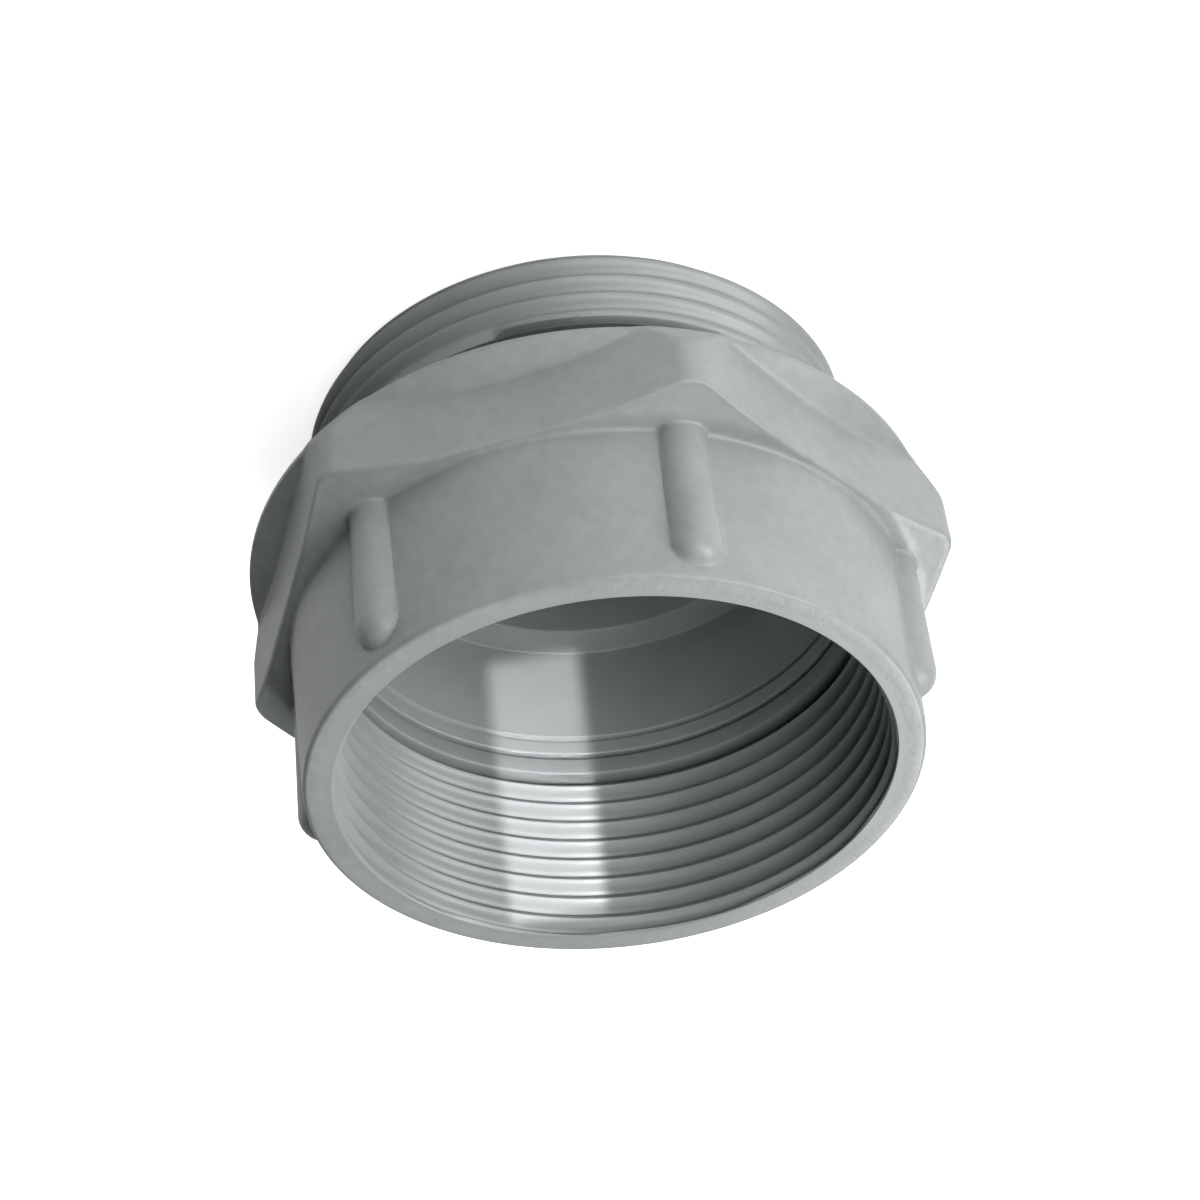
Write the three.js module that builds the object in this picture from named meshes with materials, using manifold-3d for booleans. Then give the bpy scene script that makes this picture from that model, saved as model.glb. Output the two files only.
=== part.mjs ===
// Swivel union half: a ribbed, hex-collared union nut that turns on a male-threaded tailpiece.
// Millimetres, +Z up. The tailpiece stands on its threaded end, the nut's mouth faces up,
// and the origin is the centre of the tailpiece's lower end face.

import * as THREE from 'three';
import { mergeVertices } from 'three/addons/utils/BufferGeometryUtils.js';
import Module from 'manifold-3d';

const wasm = await Module();
wasm.setup();

// ---------------------------------------------------------------- driving dimensions

const ROUND_SIDES = 48;             // sides of every round surface, and steps in a thread turn

// Both threads are 37 mm by 16 turns to the inch, with 80 degree flanks.
const PITCH = 25.4 / 16;
const THREAD_MAJOR_R = 18.5;
const THREAD_MINOR_R = 17.74;
const CREST_WIDTH = 0.22;
const ROOT_WIDTH = 1.5;
const THREAD_OVERLAP = 0.3;         // how far a ridge is sunk into its core

// Heights along the axis, from the tailpiece's lower end face.
const NUT_BOTTOM = 11.85;           // the nut's lower end face
const WEB_TOP = 13;                 // the inward web that holds the nut on the tailpiece
const COLLAR_TOP = 18.2;            // the step from the hex collar to the round socket
const MOUTH = 29.6;                 // the nut's upper end face

// Nut.
const SOCKET_R = 19.9;              // at the mouth
const SOCKET_BASE_R = 20.3;         // at the collar
const MOUTH_EDGE = 0.4;             // rounding of the mouth's outer edge
const MOUTH_LEAD_IN = 0.5;          // chamfer of the mouth's inner edge
const ACROSS_FLATS = 42;
const FLANGE_R = 22.8;              // round flange at the collar's lower end
const FLANGE_EDGE = 0.4;            // height of the flange's straight rim
const FLANGE_RAMP_TOP = 13.4;       // where the ramp from the flange meets the flats
const CORNER_CHAMFER_TOP = 14.4;    // where the corner chamfer ends
const CORNER_SLOPE = { radius: 21.5, bottom: 17.3 };    // the shallow chamfer on the collar's top
const WEB_HOLE_R = 19.25;
const RELIEF_R = 20.1;              // plain relief between the web and the thread
const RELIEF_TOP = 16.65;
const NUT_THREAD_START = { height: 14.41, angle: 0 };

// Ribs, one below each corner of the hex.
const RIB_COUNT = 6;
const RIB_R = 1.75;
const RIB_CREST_R = 21.25;          // axis to the rib's crest
const RIB_TOP = 28.7;

// Tailpiece, from its threaded end up.
const TAIL_CHAMFER = 0.4;
const TAIL_THREAD_END = { height: 6.3, angle: -60 };    // where the last ridge stops
const SEAL_GROOVE = { radius: 17.3, bottom: 6.6, top: 8.2 };
const TAIL_SHOULDER = { bottomR: 18.3, topR: 21.1, coneTop: 10.45, top: 10.95 };
const TAIL_NECK_R = 18.95;          // the nut turns on this neck
const SNAP_GROOVE = { radius: 18.35, bottom: 13.2, top: 14.4 };
const TAIL_TOP = 14.7;
const TAIL_BORE_TOP_R = 17.3;       // the bore narrows a little on its way down
const TAIL_BORE_FOOT_R = 16.4;
const TAIL_LOWER_BORE_R = 13.9;
const TAIL_BORE_STEP = 6.3;         // height of the step between the two bores
const BORE_LINE = { height: 13.5, width: 0.5, depth: 0.35 };    // fine groove round the bore
const DRIVE_LUG_WIDTH = 3;
const DRIVE_LUG_HEIGHT = 4.5;
const DRIVE_LUG_INNER_R = 12.4;

// Rings.
const SEALING_RING = { inner: 17.5, outer: 18.1, bottom: 6.85, top: 7.95 };
const SLIP_RING = { inner: 19.25, outer: 21, bottom: 11.2, top: 11.6 };
const SNAP_RING = { inner: 18.65, outer: 19.85, bottom: 13.45, top: 14.15, gap: 3.2, gapAngle: 200 };
const FACE_GASKET = { inner: 17.45, outer: 19.2, bottom: 14.95, top: 16.35 };

// ---------------------------------------------------------------- materials

const greyPlastic = new THREE.MeshStandardMaterial({ color: 0x9aa0a0, roughness: 0.42, metalness: 0 });
const darkRubber = new THREE.MeshStandardMaterial({ color: 0x2f3233, roughness: 0.7, metalness: 0 });
const paleAcetal = new THREE.MeshStandardMaterial({ color: 0xd8d8d2, roughness: 0.5, metalness: 0 });
const springSteel = new THREE.MeshStandardMaterial({ color: 0xb9bcbe, roughness: 0.3, metalness: 1 });
const greyRubber = new THREE.MeshStandardMaterial({ color: 0x7d8282, roughness: 0.7, metalness: 0 });

// ---------------------------------------------------------------- solids and booleans

function toSolid(geometry) {
  const bare = geometry.clone();
  bare.deleteAttribute('normal');
  bare.deleteAttribute('uv');
  const merged = mergeVertices(bare, 1e-4);
  return new wasm.Manifold(new wasm.Mesh({
    numProp: 3,
    vertProperties: new Float32Array(merged.attributes.position.array),
    triVerts: new Uint32Array(merged.index.array),
  }));
}

function toGeometry(solid) {
  const mesh = solid.getMesh();
  const geometry = new THREE.BufferGeometry();
  geometry.setAttribute('position', new THREE.BufferAttribute(new Float32Array(mesh.vertProperties), 3));
  geometry.setIndex(new THREE.BufferAttribute(new Uint32Array(mesh.triVerts), 1));
  geometry.computeVertexNormals();
  return geometry;
}

// Turns an outline of [radius, height] points about the Z axis. An outline off the axis closes
// on itself, and one that starts and ends on the axis makes a full body. Points run
// counterclockwise with the radius to the right and the height up.
function turned(outline) {
  const points = outline.map(([radius, height]) => new THREE.Vector2(radius, height));
  if (outline[0][0] > 0) points.push(points[0].clone());
  const geometry = new THREE.LatheGeometry(points, ROUND_SIDES);
  geometry.rotateX(Math.PI / 2);
  return toSolid(geometry);
}

function block(width, depth, height, centre) {
  const geometry = new THREE.BoxGeometry(width, depth, height);
  geometry.translate(...centre);
  return geometry;
}

// A bar of trapezium section that winds about the Z axis as a right-hand helix, from an angle in
// degrees and a height, over a number of turns. The section is wide at the thread's minor radius
// and narrow at its major radius.
function threadBar(start, turns) {
  const foot = THREAD_MINOR_R - THREAD_OVERLAP;
  const section = [
    [foot, -ROOT_WIDTH / 2], [THREAD_MAJOR_R, -CREST_WIDTH / 2],
    [THREAD_MAJOR_R, CREST_WIDTH / 2], [foot, ROOT_WIDTH / 2],
  ];
  const steps = Math.ceil(turns * ROUND_SIDES);
  const positions = [];
  const index = [];
  for (let step = 0; step <= steps; step++) {
    const turn = step / ROUND_SIDES;
    const angle = THREE.MathUtils.degToRad(start.angle) + turn * 2 * Math.PI;
    const height = start.height + turn * PITCH;
    for (const [radius, offset] of section) {
      positions.push(radius * Math.cos(angle), radius * Math.sin(angle), height + offset);
    }
  }
  for (let step = 0; step < steps; step++) {
    for (let side = 0; side < 4; side++) {
      const a = step * 4 + side;
      const b = step * 4 + (side + 1) % 4;
      index.push(a, b + 4, b, a, a + 4, b + 4);
    }
  }
  const last = steps * 4;
  index.push(0, 1, 2, 0, 2, 3, last, last + 2, last + 1, last, last + 3, last + 2);
  const geometry = new THREE.BufferGeometry();
  geometry.setAttribute('position', new THREE.Float32BufferAttribute(positions, 3));
  geometry.setIndex(index);
  return toSolid(geometry);
}

// ---------------------------------------------------------------- sub-parts

// Hex collar: six flats with chamfered corners, above a round flange that ramps into the flats.
function collarSolid() {
  const cornerR = ACROSS_FLATS / 2 / Math.cos(Math.PI / 6);
  const corners = [];
  for (let corner = 0; corner < 6; corner++) {
    const angle = Math.PI / 2 + corner * Math.PI / 3;
    corners.push(new THREE.Vector2(cornerR * Math.cos(angle), cornerR * Math.sin(angle)));
  }
  const height = COLLAR_TOP - NUT_BOTTOM;
  const prism = new THREE.ExtrudeGeometry(new THREE.Shape(corners), { depth: height, bevelEnabled: false });
  prism.translate(0, 0, NUT_BOTTOM);
  const envelope = turned([
    [0, NUT_BOTTOM], [FLANGE_R, NUT_BOTTOM], [cornerR + 0.01, CORNER_CHAMFER_TOP],
    [cornerR + 0.01, CORNER_SLOPE.bottom], [CORNER_SLOPE.radius, COLLAR_TOP], [0, COLLAR_TOP],
  ]);
  const flange = turned([
    [0, NUT_BOTTOM], [FLANGE_R, NUT_BOTTOM], [FLANGE_R, NUT_BOTTOM + FLANGE_EDGE],
    [ACROSS_FLATS / 2, FLANGE_RAMP_TOP], [0, FLANGE_RAMP_TOP],
  ]);
  return toSolid(prism).intersect(envelope).add(flange);
}

function ribSolid(angle) {
  const foot = COLLAR_TOP - 1;
  const shaft = new THREE.CapsuleGeometry(RIB_R, RIB_TOP - RIB_R - foot, 3, 14);
  shaft.rotateX(Math.PI / 2);
  shaft.translate(RIB_CREST_R - RIB_R, 0, (RIB_TOP - RIB_R + foot) / 2);
  shaft.rotateZ(angle);
  return toSolid(shaft);
}

function swivelNut() {
  const socket = turned([
    [0, COLLAR_TOP - 1], [SOCKET_BASE_R, COLLAR_TOP - 1], [SOCKET_BASE_R, COLLAR_TOP],
    [SOCKET_R, MOUTH - MOUTH_EDGE], [SOCKET_R - MOUTH_EDGE, MOUTH], [0, MOUTH],
  ]);
  let body = collarSolid().add(socket);
  for (let rib = 0; rib < RIB_COUNT; rib++) {
    body = body.add(ribSolid(Math.PI / 2 + rib * 2 * Math.PI / RIB_COUNT));
  }
  const room = turned([
    [0, NUT_BOTTOM - 1], [WEB_HOLE_R, NUT_BOTTOM - 1], [WEB_HOLE_R, WEB_TOP], [RELIEF_R, WEB_TOP],
    [RELIEF_R, RELIEF_TOP], [THREAD_MINOR_R, RELIEF_TOP],
    [THREAD_MINOR_R, MOUTH - MOUTH_LEAD_IN], [THREAD_MINOR_R + MOUTH_LEAD_IN, MOUTH],
    [THREAD_MINOR_R + MOUTH_LEAD_IN, MOUTH + 1], [0, MOUTH + 1],
  ]);
  const grooveTurns = (MOUTH + PITCH - NUT_THREAD_START.height) / PITCH;
  return body.subtract(room).subtract(threadBar(NUT_THREAD_START, grooveTurns));
}

// Radius of the tailpiece's upper bore at a height.
function boreRadius(height) {
  const share = (height - TAIL_BORE_STEP) / (TAIL_TOP - TAIL_BORE_STEP);
  return THREE.MathUtils.lerp(TAIL_BORE_FOOT_R, TAIL_BORE_TOP_R, share);
}

function tailpiece() {
  const lineTop = BORE_LINE.height + BORE_LINE.width / 2;
  const lineBottom = BORE_LINE.height - BORE_LINE.width / 2;
  const threadChamferTop = TAIL_CHAMFER + THREAD_MAJOR_R - THREAD_MINOR_R;
  const core = turned([
    [TAIL_LOWER_BORE_R, 0], [THREAD_MINOR_R - TAIL_CHAMFER, 0],
    [THREAD_MINOR_R, TAIL_CHAMFER], [THREAD_MINOR_R, SEAL_GROOVE.bottom],
    [SEAL_GROOVE.radius, SEAL_GROOVE.bottom], [SEAL_GROOVE.radius, SEAL_GROOVE.top],
    [TAIL_SHOULDER.bottomR, SEAL_GROOVE.top], [TAIL_SHOULDER.topR, TAIL_SHOULDER.coneTop],
    [TAIL_SHOULDER.topR, TAIL_SHOULDER.top], [TAIL_NECK_R, TAIL_SHOULDER.top],
    [TAIL_NECK_R, SNAP_GROOVE.bottom],
    [SNAP_GROOVE.radius, SNAP_GROOVE.bottom], [SNAP_GROOVE.radius, SNAP_GROOVE.top],
    [TAIL_NECK_R, SNAP_GROOVE.top], [TAIL_NECK_R, TAIL_TOP], [TAIL_BORE_TOP_R, TAIL_TOP],
    [boreRadius(lineTop), lineTop], [boreRadius(BORE_LINE.height) + BORE_LINE.depth, BORE_LINE.height],
    [boreRadius(lineBottom), lineBottom],
    [TAIL_BORE_FOOT_R, TAIL_BORE_STEP], [TAIL_LOWER_BORE_R, TAIL_BORE_STEP],
  ]);
  const turns = Math.ceil((TAIL_THREAD_END.height + PITCH) / PITCH);
  const start = { height: TAIL_THREAD_END.height - turns * PITCH, angle: TAIL_THREAD_END.angle };
  const threadRoom = turned([
    [TAIL_LOWER_BORE_R, 0], [THREAD_MINOR_R - TAIL_CHAMFER, 0],
    [THREAD_MAJOR_R + 0.01, threadChamferTop], [THREAD_MAJOR_R + 0.01, SEAL_GROOVE.bottom],
    [TAIL_LOWER_BORE_R, SEAL_GROOVE.bottom],
  ]);
  let solid = core.add(threadBar(start, turns).intersect(threadRoom));
  for (const side of [-1, 1]) {
    const reach = TAIL_LOWER_BORE_R + 0.5 - DRIVE_LUG_INNER_R;
    const centre = [side * (DRIVE_LUG_INNER_R + reach / 2), 0, TAIL_BORE_STEP - DRIVE_LUG_HEIGHT / 2 - 0.5];
    solid = solid.add(toSolid(block(reach, DRIVE_LUG_WIDTH, DRIVE_LUG_HEIGHT, centre)));
  }
  return solid;
}

function plainRing({ inner, outer, bottom, top }) {
  return turned([[inner, bottom], [outer, bottom], [outer, top], [inner, top]]);
}

// A spring ring with a gap, whose middle is at an angle in degrees from +X.
function snapRing() {
  const { outer, bottom, top, gap, gapAngle } = SNAP_RING;
  const reach = outer + 1;
  const cutter = block(reach, gap, top - bottom + 1, [reach / 2, 0, (top + bottom) / 2]);
  cutter.rotateZ(THREE.MathUtils.degToRad(gapAngle));
  return plainRing(SNAP_RING).subtract(toSolid(cutter));
}

// ---------------------------------------------------------------- assembly

function named(name, solid, material) {
  const mesh = new THREE.Mesh(toGeometry(solid), material);
  mesh.name = name;
  return mesh;
}

const tail = new THREE.Group();
tail.add(named('tailpiece', tailpiece(), greyPlastic));
tail.add(named('sealing_ring', plainRing(SEALING_RING), darkRubber));
tail.add(named('snap_ring', snapRing(), springSteel));
tail.add(named('face_gasket', plainRing(FACE_GASKET), greyRubber));

const turning = new THREE.Group();
turning.add(named('slip_ring', plainRing(SLIP_RING), paleAcetal));
turning.add(named('swivel_nut', swivelNut(), greyPlastic));

const group = new THREE.Group();
group.add(tail, turning);

export default group;
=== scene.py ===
"""Looks of a swivel union half: a ribbed, hex-collared plastic nut that turns on a threaded tailpiece.

Sizes inside this script are in millimetres and are turned into metres when a mesh is made.
"""

import math

import bpy
import numpy as np
from mathutils import Matrix, Vector


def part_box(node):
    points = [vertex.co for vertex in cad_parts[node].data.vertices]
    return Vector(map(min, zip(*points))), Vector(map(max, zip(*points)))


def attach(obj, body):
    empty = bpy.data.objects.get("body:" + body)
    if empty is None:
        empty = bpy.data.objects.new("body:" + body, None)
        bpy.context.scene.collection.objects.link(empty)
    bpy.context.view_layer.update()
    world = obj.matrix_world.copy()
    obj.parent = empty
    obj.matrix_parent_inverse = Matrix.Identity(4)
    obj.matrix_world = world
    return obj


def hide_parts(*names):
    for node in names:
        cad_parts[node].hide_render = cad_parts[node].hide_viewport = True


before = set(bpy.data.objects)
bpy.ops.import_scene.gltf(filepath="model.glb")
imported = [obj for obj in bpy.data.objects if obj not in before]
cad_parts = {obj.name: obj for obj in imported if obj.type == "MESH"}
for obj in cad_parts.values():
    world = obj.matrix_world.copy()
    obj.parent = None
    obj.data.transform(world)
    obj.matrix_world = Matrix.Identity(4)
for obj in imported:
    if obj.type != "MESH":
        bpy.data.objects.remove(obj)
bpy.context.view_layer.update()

MM = 0.001


def limits(node):
    """Lowest height, highest height and outer radius of a CAD node, in millimetres."""
    low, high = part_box(node)
    return low.z / MM, high.z / MM, high.x / MM


# ---------------------------------------------------------------- sizes

NUT_BOTTOM, MOUTH, FLANGE_R = limits("swivel_nut")
TAIL_BOTTOM, TAIL_TOP, SHOULDER_R = limits("tailpiece")
SEAL_BOTTOM, SEAL_TOP, SEAL_R = limits("sealing_ring")
SLIP_BOTTOM, SLIP_TOP, SLIP_R = limits("slip_ring")
SNAP_BOTTOM, SNAP_TOP, SNAP_R = limits("snap_ring")
GASKET_BOTTOM, GASKET_TOP, GASKET_R = limits("face_gasket")

# Threads.
PITCH = 25.4 / 16
MAJOR_R = 18.5
MINOR_R = 17.74
ROWS_PER_PITCH = 12
CREST_ROUNDING = 0.18          # share of the pitch over which crests and roots are rounded

# Nut.
WEB_TOP = 13.0
WEB_HOLE_R = 19.25
RELIEF_R = 20.1
RELIEF_TOP = 16.65
NUT_THREAD_HEIGHT = 14.41      # height of a groove's middle at the +X axis
COLLAR_TOP = 18.2
APOTHEM = 21.0
CORNER_SHARPNESS = 90          # higher is sharper
CORNER_TURNED_R = 23.9         # the corners are turned down to this radius
CORNER_SLOPE_R = 21.5          # where the shallow chamfer on the collar's top begins
CORNER_SLOPE_DROP = 0.42       # how far it drops for each millimetre outwards
FLANGE_RIM = 0.4
FLANGE_RAMP_TOP = 13.4
CORNER_RAMP_TOP = 14.4
SOCKET_R = 19.9
SOCKET_BASE_R = 20.3
EDGE = 0.35
RIB_COUNT = 6
RIB_R = 1.75
RIB_CREST_R = 21.25
RIB_TOP = 28.7

# Tailpiece.
LOWER_BORE_R = 13.9
BORE_TOP_R = 17.3
BORE_FOOT_R = 16.4
BORE_STEP = 6.3
BORE_LINE = (13.5, 0.25, 0.35)
TAIL_CHAMFER = 0.4
SEAL_GROOVE = (17.3, 6.6, 8.2)
SHOULDER_BOTTOM_R = 18.3
SHOULDER_CONE_TOP = 10.45
SHOULDER_TOP = 10.95
NECK_R = 18.95
SNAP_GROOVE = (18.35, 13.2, 14.4)
TAIL_THREAD_END = (6.3, -60.0)
LUG_HALF_WIDTH = 1.5
LUG_INNER_R = 12.4
LUG_BOTTOM, LUG_TOP = 1.3, 5.8

# Rings.
SEAL_INNER_R = 17.5
SLIP_INNER_R = 19.25
SNAP_INNER_R = 18.65
SNAP_GAP = 3.2
SNAP_GAP_ANGLE = 200
GASKET_INNER_R = 17.45


# ---------------------------------------------------------------- small helpers

def smoothstep(x):
    x = np.clip(x, 0, 1)
    return x * x * (3 - 2 * x)


def soft_max(a, b, width):
    """The larger of two values, with the crossing rounded over a width."""
    gap = np.clip(0.5 + 0.5 * (a - b) / width, 0, 1)
    return b + (a - b) * gap + width * gap * (1 - gap)


def soft_min(a, b, width):
    return -soft_max(-a, -b, width)


def arc(centre, radius, start, end, steps):
    """Points of an arc in the (radius, height) plane, from one angle to another in degrees."""
    turn = np.radians(np.linspace(start, end, steps + 1))
    return [(centre[0] + radius * math.cos(t), centre[1] + radius * math.sin(t)) for t in turn]


def wave(phase):
    """A thread's form over one pitch: 0 at a whole phase, 1 at a half, straight flanks, rounded ends."""
    away = np.abs((np.asarray(phase) + 0.5) % 1 - 0.5)
    low = soft_max(away, CREST_ROUNDING / 2, CREST_ROUNDING)
    both = soft_min(low, 0.5 - CREST_ROUNDING / 2, CREST_ROUNDING)
    ends = [float(soft_min(soft_max(np.array(v), CREST_ROUNDING / 2, CREST_ROUNDING),
                           0.5 - CREST_ROUNDING / 2, CREST_ROUNDING)) for v in (0.0, 0.5)]
    return (both - ends[0]) / (ends[1] - ends[0])


class Skin:
    """A surface made of closed rings of points around the Z axis."""

    def __init__(self, angles):
        self.angles = np.asarray(angles)
        self.count = len(self.angles)
        self.points = []
        self.quads = []
        self.last = None
        self.size = 0

    def ring(self, radius, height):
        radius = np.broadcast_to(np.asarray(radius, float), self.count)
        height = np.broadcast_to(np.asarray(height, float), self.count)
        self.points.append(np.stack([
            radius * np.cos(self.angles), radius * np.sin(self.angles), height], axis=1))
        self.size += self.count
        return np.arange(self.size - self.count, self.size)

    def join(self, first, second):
        self.quads.append(np.stack(
            [first, np.roll(first, -1), np.roll(second, -1), second], axis=1))

    def to(self, radius, height):
        """Adds a ring and joins it to the one before."""
        now = self.ring(radius, height)
        if self.last is not None:
            self.join(self.last, now)
        self.last = now
        return now

    def follow(self, outline):
        for radius, height in outline:
            self.to(radius, height)

    def thread(self, low, high, radius_at, groove_height, upward):
        """A threaded stretch whose rows wind with the thread. radius_at(phase, turns, height) gives
        a point's radius. Phase is 0 in the middle of the helix that starts at groove_height on +X,
        and turns counts along that helix."""
        lead = PITCH * self.angles / (2 * math.pi)
        below = math.ceil((groove_height - low) / PITCH) + 1
        base = groove_height - below * PITCH
        rows = math.ceil((high - base) / PITCH) * ROWS_PER_PITCH
        grid = []
        for row in range(rows + 1):
            phase = row / ROWS_PER_PITCH
            height = base + phase * PITCH + lead
            clipped = np.clip(height, low, high)
            shift = phase + (clipped - height) / PITCH
            turns = np.round(shift) - below + self.angles / (2 * math.pi)
            grid.append(self.ring(radius_at(shift, turns, clipped), clipped))
        for row in range(rows):
            ends = []
            for line in (row, row + 1):
                wrapped = grid[min(line + ROWS_PER_PITCH, rows)][0]
                ends.append(np.append(grid[line][1:], wrapped))
            quad = [grid[row], ends[0], ends[1], grid[row + 1]]
            self.quads.append(np.stack(quad if upward else quad[::-1], axis=1))
        first, final = (grid[0], grid[rows]) if upward else (grid[rows], grid[0])
        if self.last is not None:
            self.join(self.last, first)
        self.last = final

    def mesh(self, name, closed=True):
        if closed:
            self.join(self.last, np.arange(self.count))
        return make_mesh(name, np.concatenate(self.points), np.concatenate(self.quads))


def make_mesh(name, points, quads):
    """A mesh in metres, with coincident points merged and collapsed faces left out."""
    keys = np.round(points / 1e-4).astype(np.int64)
    _, first, merged = np.unique(keys, axis=0, return_index=True, return_inverse=True)
    merged = merged.reshape(-1)
    faces = []
    for quad in merged[quads]:
        face = [p for k, p in enumerate(quad) if p != quad[k - 1]]
        if len(face) > 2 and len(set(face)) == len(face):
            faces.append([int(p) for p in face])
    mesh = bpy.data.meshes.new(name)
    mesh.from_pydata((points[first] * MM).tolist(), [], faces)
    mesh.validate()
    mesh.update()
    return mesh


def place(name, mesh, body, node, material, sharp_angle=38):
    piece = bpy.data.objects.new(name, mesh)
    bpy.context.scene.collection.objects.link(piece)
    mesh.materials.append(material)
    mesh.polygons.foreach_set("use_smooth", [True] * len(mesh.polygons))
    mesh.set_sharp_from_angle(angle=math.radians(sharp_angle))
    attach(piece, body)
    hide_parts(node)
    return piece


# ---------------------------------------------------------------- materials

CLOUD_SIZE = 7                 # width of the soft clouds of tone
GLOSS_PATCH = 3                # width of the patches of uneven gloss
GLOSS_SPREAD = 0.06            # how far roughness goes each way over them
GRAIN_DEPTH = 0.04


def plastic(name, colour, shade, roughness, grain, grain_size, speckle=0.0):
    """Moulded plastic or rubber: two tones in soft clouds, a fine grain and an uneven gloss."""
    material = bpy.data.materials.new(name)
    material.use_nodes = True
    nodes = material.node_tree.nodes
    links = material.node_tree.links
    shader = nodes["Principled BSDF"]
    coordinates = nodes.new("ShaderNodeTexCoord")

    def noise(size, detail, distortion=0.0):
        node = nodes.new("ShaderNodeTexNoise")
        node.inputs["Scale"].default_value = 1 / (size * MM)
        node.inputs["Detail"].default_value = detail
        node.inputs["Distortion"].default_value = distortion
        links.new(coordinates.outputs["Object"], node.inputs["Vector"])
        return node

    clouds = noise(CLOUD_SIZE, 4, 0.4)
    tones = nodes.new("ShaderNodeValToRGB")
    tones.color_ramp.elements[0].position = 0.3
    tones.color_ramp.elements[0].color = (*shade, 1)
    tones.color_ramp.elements[1].position = 0.7
    tones.color_ramp.elements[1].color = (*colour, 1)
    links.new(clouds.outputs["Fac"], tones.inputs["Fac"])
    flecks = noise(grain_size * 2.5, 2)
    fleck_tones = nodes.new("ShaderNodeMapRange")
    fleck_tones.inputs["To Min"].default_value = 1 - speckle
    fleck_tones.inputs["To Max"].default_value = 1 + speckle
    links.new(flecks.outputs["Fac"], fleck_tones.inputs["Value"])
    mixed = nodes.new("ShaderNodeVectorMath")
    mixed.operation = "SCALE"
    links.new(tones.outputs["Color"], mixed.inputs[0])
    links.new(fleck_tones.outputs["Result"], mixed.inputs["Scale"])
    links.new(mixed.outputs["Vector"], shader.inputs["Base Color"])

    gloss = nodes.new("ShaderNodeMapRange")
    gloss.inputs["To Min"].default_value = roughness - GLOSS_SPREAD
    gloss.inputs["To Max"].default_value = roughness + GLOSS_SPREAD
    links.new(noise(GLOSS_PATCH, 3).outputs["Fac"], gloss.inputs["Value"])
    links.new(gloss.outputs["Result"], shader.inputs["Roughness"])

    bump = nodes.new("ShaderNodeBump")
    bump.inputs["Strength"].default_value = grain
    bump.inputs["Distance"].default_value = GRAIN_DEPTH * MM
    links.new(noise(grain_size, 3).outputs["Fac"], bump.inputs["Height"])
    links.new(bump.outputs["Normal"], shader.inputs["Normal"])
    return material


def spring_steel():
    """Bright steel strip with marks drawn along the ring."""
    material = bpy.data.materials.new("spring_steel_look")
    material.use_nodes = True
    nodes = material.node_tree.nodes
    links = material.node_tree.links
    shader = nodes["Principled BSDF"]
    shader.inputs["Metallic"].default_value = 1
    coordinates = nodes.new("ShaderNodeTexCoord")
    stretch = nodes.new("ShaderNodeMapping")
    stretch.inputs["Scale"].default_value = (300, 300, 9000)
    streaks = nodes.new("ShaderNodeTexNoise")
    streaks.inputs["Scale"].default_value = 1
    streaks.inputs["Detail"].default_value = 4
    links.new(coordinates.outputs["Object"], stretch.inputs["Vector"])
    links.new(stretch.outputs["Vector"], streaks.inputs["Vector"])
    tones = nodes.new("ShaderNodeValToRGB")
    tones.color_ramp.elements[0].color = (0.42, 0.43, 0.44, 1)
    tones.color_ramp.elements[1].color = (0.62, 0.63, 0.64, 1)
    links.new(streaks.outputs["Fac"], tones.inputs["Fac"])
    links.new(tones.outputs["Color"], shader.inputs["Base Color"])
    gloss = nodes.new("ShaderNodeMapRange")
    gloss.inputs["To Min"].default_value = 0.22
    gloss.inputs["To Max"].default_value = 0.38
    links.new(streaks.outputs["Fac"], gloss.inputs["Value"])
    links.new(gloss.outputs["Result"], shader.inputs["Roughness"])
    return material


GREY = (0.285, 0.305, 0.305)
GREY_SHADE = (0.25, 0.27, 0.27)
textured_grey = plastic("grey_plastic_textured", GREY, GREY_SHADE, 0.42, 0.55, 0.35, 0.12)
polished_grey = plastic("grey_plastic_polished", GREY, GREY_SHADE, 0.35, 0.04, 0.5, 0.02)
dark_rubber = plastic("dark_rubber_look", (0.035, 0.038, 0.04), (0.022, 0.024, 0.026), 0.62, 0.3, 0.2)
grey_rubber = plastic("grey_rubber_look", (0.26, 0.28, 0.28), (0.22, 0.24, 0.24), 0.5, 0.2, 0.25)
pale_acetal = plastic("pale_acetal_look", (0.68, 0.68, 0.64), (0.6, 0.6, 0.56), 0.4, 0.1, 0.3)
spring = spring_steel()


# ---------------------------------------------------------------- swivel nut

def nut_angles():
    """Angles around the nut, closer together over each corner and its rib."""
    sector = 360 / RIB_COUNT
    fine = np.arange(-7.2, 7.2, 0.4)
    coarse = np.linspace(7.2, sector - 7.2, 46, endpoint=False)
    one = np.concatenate([fine, coarse])
    return np.radians(np.concatenate([90 - sector + k * sector + one for k in range(RIB_COUNT)]))


def hex_radius(angles):
    """Radius of the hex with its corners slightly rounded and turned down."""
    total = sum(
        np.clip(np.cos(angles - math.radians(60 * k)) / APOTHEM, 0, None) ** CORNER_SHARPNESS
        for k in range(6))
    return soft_min(total ** (-1 / CORNER_SHARPNESS), CORNER_TURNED_R, 0.25)


def rib_radius(angles, height):
    """Outer radius of the ribs at a height, or 0 away from them."""
    sector = 2 * math.pi / RIB_COUNT
    aside = (angles - math.pi / 2 + sector / 2) % sector - sector / 2
    centre = RIB_CREST_R - RIB_R
    above = max(0, height - (RIB_TOP - RIB_R))
    room = RIB_R ** 2 - above ** 2 - (centre * np.sin(aside)) ** 2
    return np.where(room > 0, centre * np.cos(aside) + np.sqrt(np.clip(room, 0, None)), 0)


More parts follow.
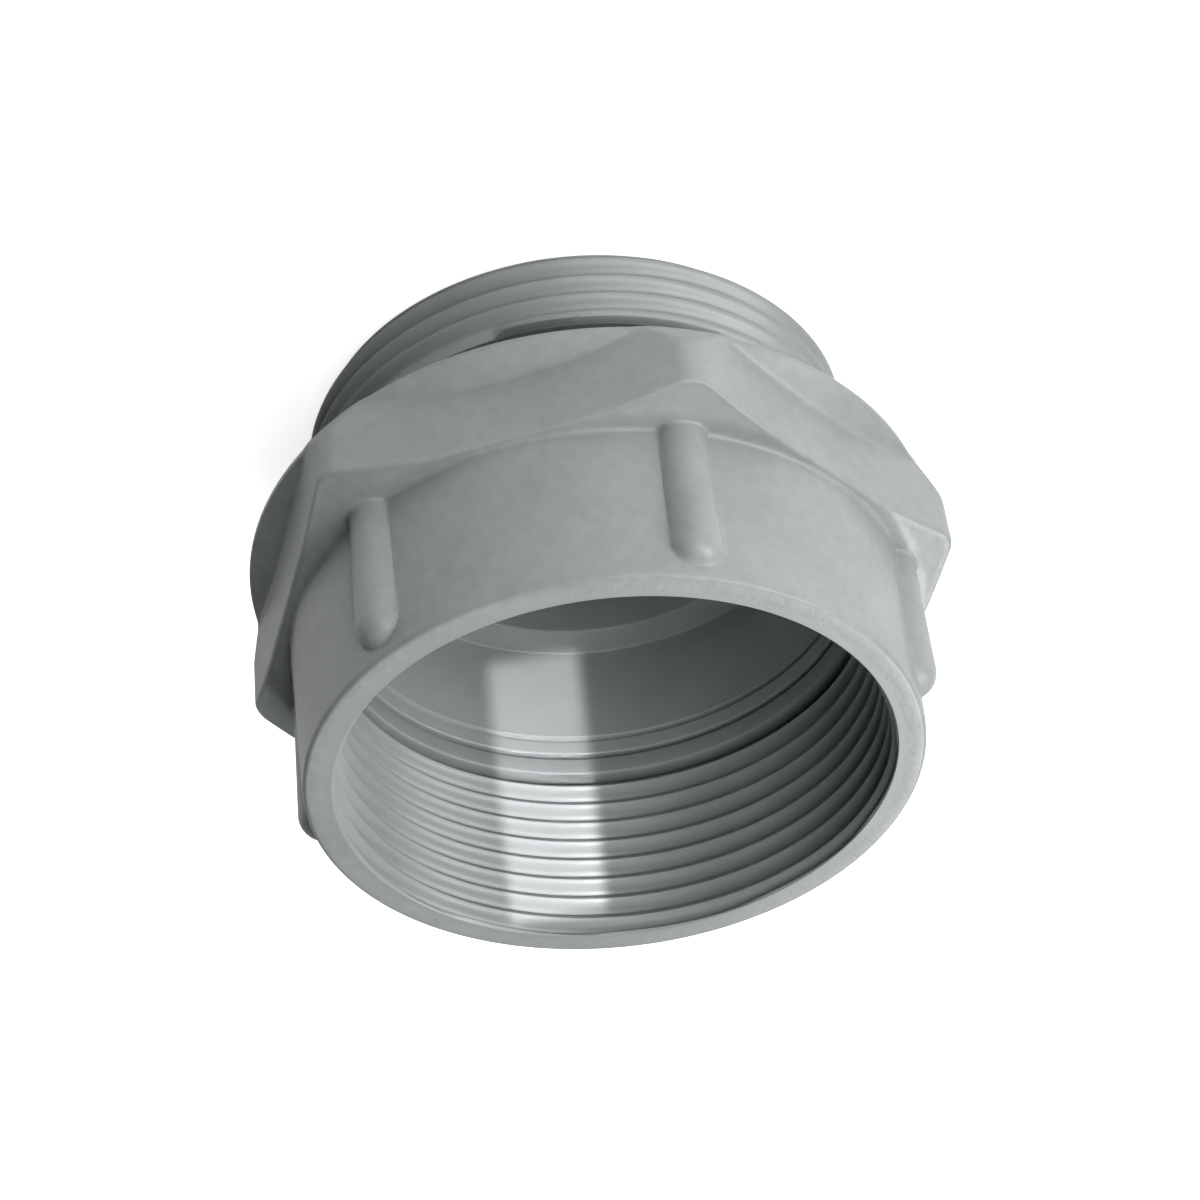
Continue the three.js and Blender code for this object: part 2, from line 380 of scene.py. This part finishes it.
def body_radius(angles, height):
    """Outer radius of the socket and its ribs at a height."""
    share = (height - COLLAR_TOP) / (MOUTH - COLLAR_TOP)
    wall = SOCKET_BASE_R + (SOCKET_R - SOCKET_BASE_R) * share
    return soft_max(rib_radius(angles, height), wall, 0.12)


def collar_radius(angles, height):
    """Outer radius of the hex collar, its corner chamfers and its round flange at a height."""
    slope = (APOTHEM / math.cos(math.pi / 6) - FLANGE_R) / (CORNER_RAMP_TOP - NUT_BOTTOM)
    chamfered = soft_min(hex_radius(angles), FLANGE_R + slope * (height - NUT_BOTTOM), 0.15)
    down = (height - NUT_BOTTOM - FLANGE_RIM) / (FLANGE_RAMP_TOP - NUT_BOTTOM - FLANGE_RIM)
    flange = FLANGE_R - (FLANGE_R - APOTHEM) * max(0, down)
    return soft_max(chamfered, flange, 0.25)


def nut_bore(phase, turns, height):
    depth = (MAJOR_R - MINOR_R) * wave(phase + 0.5)
    at_mouth = smoothstep((MOUTH - 0.02 - height) / 0.35)
    first_edge = MINOR_R + 0.2 - (height - RELIEF_TOP)
    lead_in = MINOR_R + EDGE - (MOUTH - height)
    threaded = MINOR_R + depth * at_mouth
    return np.maximum(np.maximum(threaded, first_edge), lead_in)


def swivel_nut():
    skin = Skin(nut_angles())
    angles = skin.angles
    skin.to(WEB_HOLE_R, NUT_BOTTOM)
    rim = collar_radius(angles, NUT_BOTTOM + EDGE / 2)
    for share in (0.35, 0.7):
        skin.to(WEB_HOLE_R + (rim - EDGE / 2 - WEB_HOLE_R) * share, NUT_BOTTOM)
    for radius, height in arc((-EDGE / 2, NUT_BOTTOM + EDGE / 2), EDGE / 2, -90, 0, 4):
        skin.to(rim + radius, height)
    top = collar_radius(angles, COLLAR_TOP)
    drop = CORNER_SLOPE_DROP * np.maximum(0, top - EDGE - CORNER_SLOPE_R)
    side_top = COLLAR_TOP - EDGE - drop
    for height in np.linspace(NUT_BOTTOM + EDGE / 2, CORNER_RAMP_TOP + 0.6, 26)[1:]:
        skin.to(collar_radius(angles, height), height)
    for share in np.linspace(0, 1, 8)[1:]:
        height = CORNER_RAMP_TOP + 0.6 + (side_top - CORNER_RAMP_TOP - 0.6) * share
        skin.to(collar_radius(angles, COLLAR_TOP - EDGE), height)
    for radius, height in arc((-EDGE, -EDGE), EDGE, 0, 90, 5)[1:]:
        skin.to(top + radius, COLLAR_TOP - drop + height)
    base = body_radius(angles, COLLAR_TOP + EDGE)
    inner = np.minimum(base + EDGE, top - EDGE - 0.02)
    for share in (0.2, 0.4, 0.6, 0.8):
        radius = top - EDGE + (inner - top + EDGE) * share
        slope = CORNER_SLOPE_DROP * np.maximum(0, radius - CORNER_SLOPE_R)
        skin.to(radius, COLLAR_TOP - slope)
    for radius, height in arc((EDGE, COLLAR_TOP + EDGE), EDGE, 270, 180, 5):
        skin.to(inner - EDGE + radius, height)
    for height in np.concatenate([
            np.linspace(COLLAR_TOP + EDGE, RIB_TOP - RIB_R - 0.4, 9)[1:],
            np.linspace(RIB_TOP - RIB_R - 0.4, RIB_TOP + 0.3, 26)[1:]]):
        skin.to(body_radius(angles, height), height)
    for radius, height in arc((SOCKET_R - EDGE, MOUTH - EDGE), EDGE, 0, 90, 6):
        skin.to(radius, height)
    lip = MINOR_R + EDGE
    for share in (0.35, 0.7, 1):
        skin.to(SOCKET_R - EDGE + (lip - SOCKET_R + EDGE) * share, MOUTH)
    skin.thread(RELIEF_TOP, MOUTH, nut_bore, NUT_THREAD_HEIGHT, upward=False)
    skin.follow(arc((RELIEF_R - 0.15, RELIEF_TOP - 0.15), 0.15, 90, 0, 3))
    skin.follow(arc((RELIEF_R - 0.25, WEB_TOP + 0.25), 0.25, 0, -90, 4))
    skin.follow(arc((WEB_HOLE_R + 0.2, WEB_TOP - 0.2), 0.2, 90, 180, 4))
    return skin.mesh("swivel_nut_skin")


# ---------------------------------------------------------------- tailpiece

def tail_thread(phase, turns, height):
    groove_depth = (MAJOR_R - MINOR_R) * wave(phase)
    end_height, end_angle = TAIL_THREAD_END
    ridge = (MAJOR_R - MINOR_R) - groove_depth
    last = (end_height - TAIL_RIDGE_HEIGHT) / PITCH
    ridge = ridge * (1 - smoothstep((turns - last) / 0.01))
    chamfer = MINOR_R - TAIL_CHAMFER + (height - TAIL_BOTTOM)
    return np.minimum(MINOR_R + ridge, chamfer)


# Height of a ridge's middle on +X, from where the last ridge ends.
TAIL_RIDGE_HEIGHT = TAIL_THREAD_END[0] - PITCH * (TAIL_THREAD_END[1] % 360) / 360


def bore_radius(height):
    """Radius of the upper bore, which narrows a little on its way down."""
    return BORE_FOOT_R + (BORE_TOP_R - BORE_FOOT_R) * (height - BORE_STEP) / (TAIL_TOP - BORE_STEP)


def lug_radius(angles, height):
    """Radius of the lower bore with its two drive lugs at a height."""
    across = np.abs(np.sin(angles)) * LOWER_BORE_R
    beside = smoothstep((LUG_HALF_WIDTH + 0.1 - across) / 0.2)
    above_foot = smoothstep((height - LUG_BOTTOM + 0.1) / 0.2)
    below_top = smoothstep((LUG_TOP + 0.1 - height) / 0.2)
    over = float(above_foot * below_top)
    flat = LUG_INNER_R / np.maximum(np.abs(np.cos(angles)), 0.5)
    return LOWER_BORE_R + (flat - LOWER_BORE_R) * beside * over


def tailpiece():
    skin = Skin(np.radians(np.arange(0, 360, 0.75)))
    angles = skin.angles
    skin.follow([(LOWER_BORE_R + 0.2, TAIL_BOTTOM), (LOWER_BORE_R + 1.5, TAIL_BOTTOM)])
    skin.to(MINOR_R - TAIL_CHAMFER - 0.1, TAIL_BOTTOM)
    skin.thread(TAIL_BOTTOM, SEAL_GROOVE[1] - 0.1, tail_thread, TAIL_RIDGE_HEIGHT, upward=True)
    skin.follow(arc((MINOR_R - 0.1, SEAL_GROOVE[1] - 0.1), 0.1, 0, 90, 3)[1:])
    skin.follow(arc((SEAL_GROOVE[0] + 0.15, SEAL_GROOVE[1] + 0.15), 0.15, 270, 180, 3))
    skin.follow(arc((SEAL_GROOVE[0] + 0.15, SEAL_GROOVE[2] - 0.15), 0.15, 180, 90, 3))
    skin.follow([(SHOULDER_BOTTOM_R - 0.2, SEAL_GROOVE[2]), (SHOULDER_BOTTOM_R, SEAL_GROOVE[2] + 0.06)])
    skin.follow([(SHOULDER_R - 0.06, SHOULDER_CONE_TOP - 0.06), (SHOULDER_R, SHOULDER_CONE_TOP + 0.06)])
    skin.follow(arc((SHOULDER_R - 0.12, SHOULDER_TOP - 0.12), 0.12, 0, 90, 4))
    skin.follow(arc((NECK_R + 0.1, SHOULDER_TOP + 0.1), 0.1, 270, 180, 3))
    skin.follow([(NECK_R, SNAP_GROOVE[1]), (SNAP_GROOVE[0], SNAP_GROOVE[1])])
    skin.follow([(SNAP_GROOVE[0], SNAP_GROOVE[2]), (NECK_R, SNAP_GROOVE[2])])
    skin.follow(arc((NECK_R - 0.15, TAIL_TOP - 0.15), 0.15, 0, 90, 3))
    skin.follow(arc((BORE_TOP_R + 0.15, TAIL_TOP - 0.15), 0.15, 90, 180, 4))
    line, half_width, depth = BORE_LINE
    skin.follow([(bore_radius(line + 1.5 * half_width), line + 1.5 * half_width)])
    skin.follow([(bore_radius(h) + depth * (1 - abs(h - line) / half_width), h)
                 for h in np.linspace(line + half_width, line - half_width, 9)])
    skin.follow([(bore_radius(h), h) for h in np.linspace(line - 1.5 * half_width, BORE_STEP + 0.15, 9)])
    skin.follow(arc((BORE_FOOT_R - 0.15, BORE_STEP + 0.15), 0.15, 0, -90, 3)[1:])
    skin.follow(arc((LOWER_BORE_R + 0.15, BORE_STEP - 0.15), 0.15, 90, 180, 3))
    for height in np.concatenate([
            np.linspace(LUG_TOP + 0.2, LUG_TOP - 0.1, 7), np.linspace(LUG_TOP - 0.1, LUG_BOTTOM + 0.1, 8)[1:],
            np.linspace(LUG_BOTTOM + 0.1, LUG_BOTTOM - 0.2, 7)[1:]]):
        skin.to(lug_radius(angles, height), height)
    skin.to(LOWER_BORE_R, TAIL_BOTTOM + 0.2)
    return skin.mesh("tailpiece_skin")


# ---------------------------------------------------------------- rings

def rounded_section(inner, outer, bottom, top, rounding):
    """The outline of a ring's section with rounded corners, counterclockwise."""
    return (arc((inner + rounding, bottom + rounding), rounding, 180, 270, 4)
            + arc((outer - rounding, bottom + rounding), rounding, 270, 360, 4)
            + arc((outer - rounding, top - rounding), rounding, 0, 90, 4)
            + arc((inner + rounding, top - rounding), rounding, 90, 180, 4))


def ring_mesh(name, inner, outer, bottom, top, rounding):
    skin = Skin(np.radians(np.arange(0, 360, 1.5)))
    skin.follow(rounded_section(inner, outer, bottom, top, rounding))
    return skin.mesh(name)


def snap_ring_mesh():
    """An open ring: its section is carried round from one side of the gap to the other."""
    half_gap = math.degrees(math.asin(SNAP_GAP / 2 / SNAP_R))
    turn = np.radians(np.linspace(SNAP_GAP_ANGLE + half_gap, SNAP_GAP_ANGLE + 360 - half_gap, 220))
    section = np.array(rounded_section(SNAP_INNER_R, SNAP_R, SNAP_BOTTOM, SNAP_TOP, 0.12))
    middle = section.mean(axis=0)
    ends = [(0, 0.55), (0.12, 0.9), (0.3, 1.0)]
    stations = [(turn[0] + math.radians(shift), size) for shift, size in ends]
    stations += [(angle, 1.0) for angle in turn[2:-2]]
    stations += [(turn[-1] - math.radians(shift), size) for shift, size in reversed(ends)]
    around = len(section)
    points = []
    for angle, size in stations:
        for radius, height in middle + (section - middle) * size:
            points.append((radius * math.cos(angle), radius * math.sin(angle), height))
    faces = []
    for station in range(len(stations) - 1):
        for side in range(around):
            a = station * around + side
            b = station * around + (side + 1) % around
            faces.append((a, a + around, b + around, b))
    faces.append(tuple(range(around)))
    faces.append(tuple((len(stations) - 1) * around + k for k in reversed(range(around))))
    mesh = bpy.data.meshes.new("snap_ring_skin")
    mesh.from_pydata([tuple(c * MM for c in p) for p in points], [], faces)
    mesh.validate()
    mesh.update()
    return mesh


# ---------------------------------------------------------------- pieces

def polish_inside(piece, radius_limit, material):
    """Gives the faces that look at the axis, inside a radius, the polished moulded finish."""
    piece.data.materials.append(material)
    for polygon in piece.data.polygons:
        centre = polygon.center
        radius = math.hypot(centre.x, centre.y) / MM
        outward = centre.x * polygon.normal.x + centre.y * polygon.normal.y
        if radius < MAJOR_R + 0.1 or (radius < radius_limit and outward < 0):
            polygon.material_index = 1


nut = place("swivel_nut_visual", swivel_nut(), "nut", "swivel_nut", textured_grey)
polish_inside(nut, RELIEF_R + 0.02, polished_grey)
tail = place("tailpiece_visual", tailpiece(), "tail", "tailpiece", polished_grey)
place("sealing_ring_visual",
      ring_mesh("sealing_ring_skin", SEAL_INNER_R, SEAL_R, SEAL_BOTTOM, SEAL_TOP, 0.25),
      "tail", "sealing_ring", dark_rubber)
place("slip_ring_visual",
      ring_mesh("slip_ring_skin", SLIP_INNER_R, SLIP_R, SLIP_BOTTOM, SLIP_TOP, 0.12),
      "slip_ring", "slip_ring", pale_acetal)
place("face_gasket_visual",
      ring_mesh("face_gasket_skin", GASKET_INNER_R, GASKET_R, GASKET_BOTTOM, GASKET_TOP, 0.2),
      "tail", "face_gasket", grey_rubber)
place("snap_ring_visual", snap_ring_mesh(), "tail", "snap_ring", spring)


# ---------------------------------------------------------------- floor, light and camera

FLOOR_GLOW = 0.8               # keeps the floor white without lighting the object
BACKDROP_GLOW = 1.0
FLOOR_HALF_WIDTH = 3.0         # metres

# Large soft lamps around the object: azimuth, elevation (degrees) and power (watts).
SOFTBOXES = {
    "back": (-135, 38, 1.2),
    "key": (-60, 38, 0.92),
    "front": (-30, 38, 0.75),
    "near": (0, 38, 0.55),
    "low": (0, 12, 0.19),
}
SOFTBOX_DISTANCE = 450
SOFTBOX_SIZE = (180, 160)
LIT_POINT = (0, 0, 14)
TOP_ELEVATION = 85
TOP_DISTANCE = 500
TOP_SIZE = (300, 300)
TOP_POWER = 0.52

# A small lamp above the mouth draws the bright band on the bore's far wall.
BEAM_SPREAD = math.radians(3)
BAND_ELEVATION = 42
BAND_DISTANCE = 34
BAND_SIZE = (6.4, 16.9)
BAND_POWER = 0.00048
BAND_MIDDLE = (-0.6, 17.3, 17.3)


def floor():
    mesh = bpy.data.meshes.new("floor")
    half = FLOOR_HALF_WIDTH
    corners = [(-half, -half, 0), (half, -half, 0), (half, half, 0), (-half, half, 0)]
    mesh.from_pydata(corners, [], [(0, 1, 2, 3)])
    plane = bpy.data.objects.new("floor", mesh)
    bpy.context.scene.collection.objects.link(plane)
    material = bpy.data.materials.new("pale_floor")
    material.use_nodes = True
    nodes = material.node_tree.nodes
    shader = nodes["Principled BSDF"]
    shader.inputs["Base Color"].default_value = (0.92, 0.92, 0.92, 1)
    shader.inputs["Roughness"].default_value = 0.9
    shader.inputs["Emission Color"].default_value = (1, 1, 1, 1)
    seen_only(material.node_tree, FLOOR_GLOW, shader.inputs["Emission Strength"])
    mesh.materials.append(material)


def softbox(name, azimuth, elevation, distance, width, height, power, target):
    """A rectangular light aimed at a point. Azimuth 0 is the -Y side and 90 the +X side."""
    light = bpy.data.lights.new(name, "AREA")
    light.shape = "RECTANGLE"
    light.size = width * MM
    light.size_y = height * MM
    light.energy = power
    lamp = bpy.data.objects.new(name, light)
    bpy.context.scene.collection.objects.link(lamp)
    turn, tilt = math.radians(azimuth), math.radians(elevation)
    away = Vector((math.sin(turn) * math.cos(tilt), -math.cos(turn) * math.cos(tilt), math.sin(tilt)))
    lamp.location = Vector(target) * MM + away * distance * MM
    lamp.rotation_euler = away.to_track_quat("Z", "Y").to_euler()
    return lamp


def strip_beam(name, azimuth, elevation, distance, width, height, power, target):
    """A softbox with its light held to a straight beam, which draws a band with clean edges."""
    lamp = softbox(name, azimuth, elevation, distance, width, height, power, target)
    lamp.data.spread = BEAM_SPREAD
    return lamp


def seen_only(node_tree, strength, socket):
    """Sets a strength that only the camera sees, so that it lights nothing."""
    path = node_tree.nodes.new("ShaderNodeLightPath")
    glow = node_tree.nodes.new("ShaderNodeMath")
    glow.operation = "MULTIPLY"
    glow.inputs[1].default_value = strength
    node_tree.links.new(path.outputs["Is Camera Ray"], glow.inputs[0])
    node_tree.links.new(glow.outputs["Value"], socket)


def backdrop():
    scene_world = bpy.data.worlds.new("studio")
    scene_world.use_nodes = True
    background = scene_world.node_tree.nodes["Background"]
    background.inputs["Color"].default_value = (1, 1, 1, 1)
    seen_only(scene_world.node_tree, BACKDROP_GLOW, background.inputs["Strength"])
    bpy.context.scene.world = scene_world


CAMERA_AZIMUTH = 18.87
CAMERA_ELEVATION = 39.2
CAMERA_ROLL = 173.055          # the object is seen almost upside down
CAMERA_DISTANCE = 207.7
CAMERA_LENS = 93.65
CAMERA_TARGET = (-0.3, -0.1, 14.93)


def camera():
    data = bpy.data.cameras.new("camera")
    data.sensor_width = 36
    data.lens = CAMERA_LENS
    data.clip_start = 0.01
    holder = bpy.data.objects.new("camera", data)
    bpy.context.scene.collection.objects.link(holder)
    turn, tilt, roll = (math.radians(v) for v in (CAMERA_AZIMUTH, CAMERA_ELEVATION, CAMERA_ROLL))
    back = Vector((math.sin(turn) * math.cos(tilt), -math.cos(turn) * math.cos(tilt), math.sin(tilt)))
    level = Vector((math.cos(turn), math.sin(turn), 0))
    upright = back.cross(level)
    right = math.cos(roll) * level + math.sin(roll) * upright
    up = -math.sin(roll) * level + math.cos(roll) * upright
    place_at = Vector(CAMERA_TARGET) * MM + back * CAMERA_DISTANCE * MM
    turned = Matrix((right, up, back)).transposed().to_4x4()
    holder.matrix_world = Matrix.Translation(place_at) @ turned
    bpy.context.scene.camera = holder


floor()
backdrop()
for box_name, (box_azimuth, box_elevation, box_power) in SOFTBOXES.items():
    softbox(box_name, box_azimuth, box_elevation, SOFTBOX_DISTANCE, *SOFTBOX_SIZE, box_power, LIT_POINT)
softbox("top", 0, TOP_ELEVATION, TOP_DISTANCE, *TOP_SIZE, TOP_POWER, LIT_POINT)
strip_beam("bore_band", CAMERA_AZIMUTH, BAND_ELEVATION, BAND_DISTANCE, *BAND_SIZE, BAND_POWER, BAND_MIDDLE)
camera()
bpy.context.scene.view_settings.view_transform = "Standard"
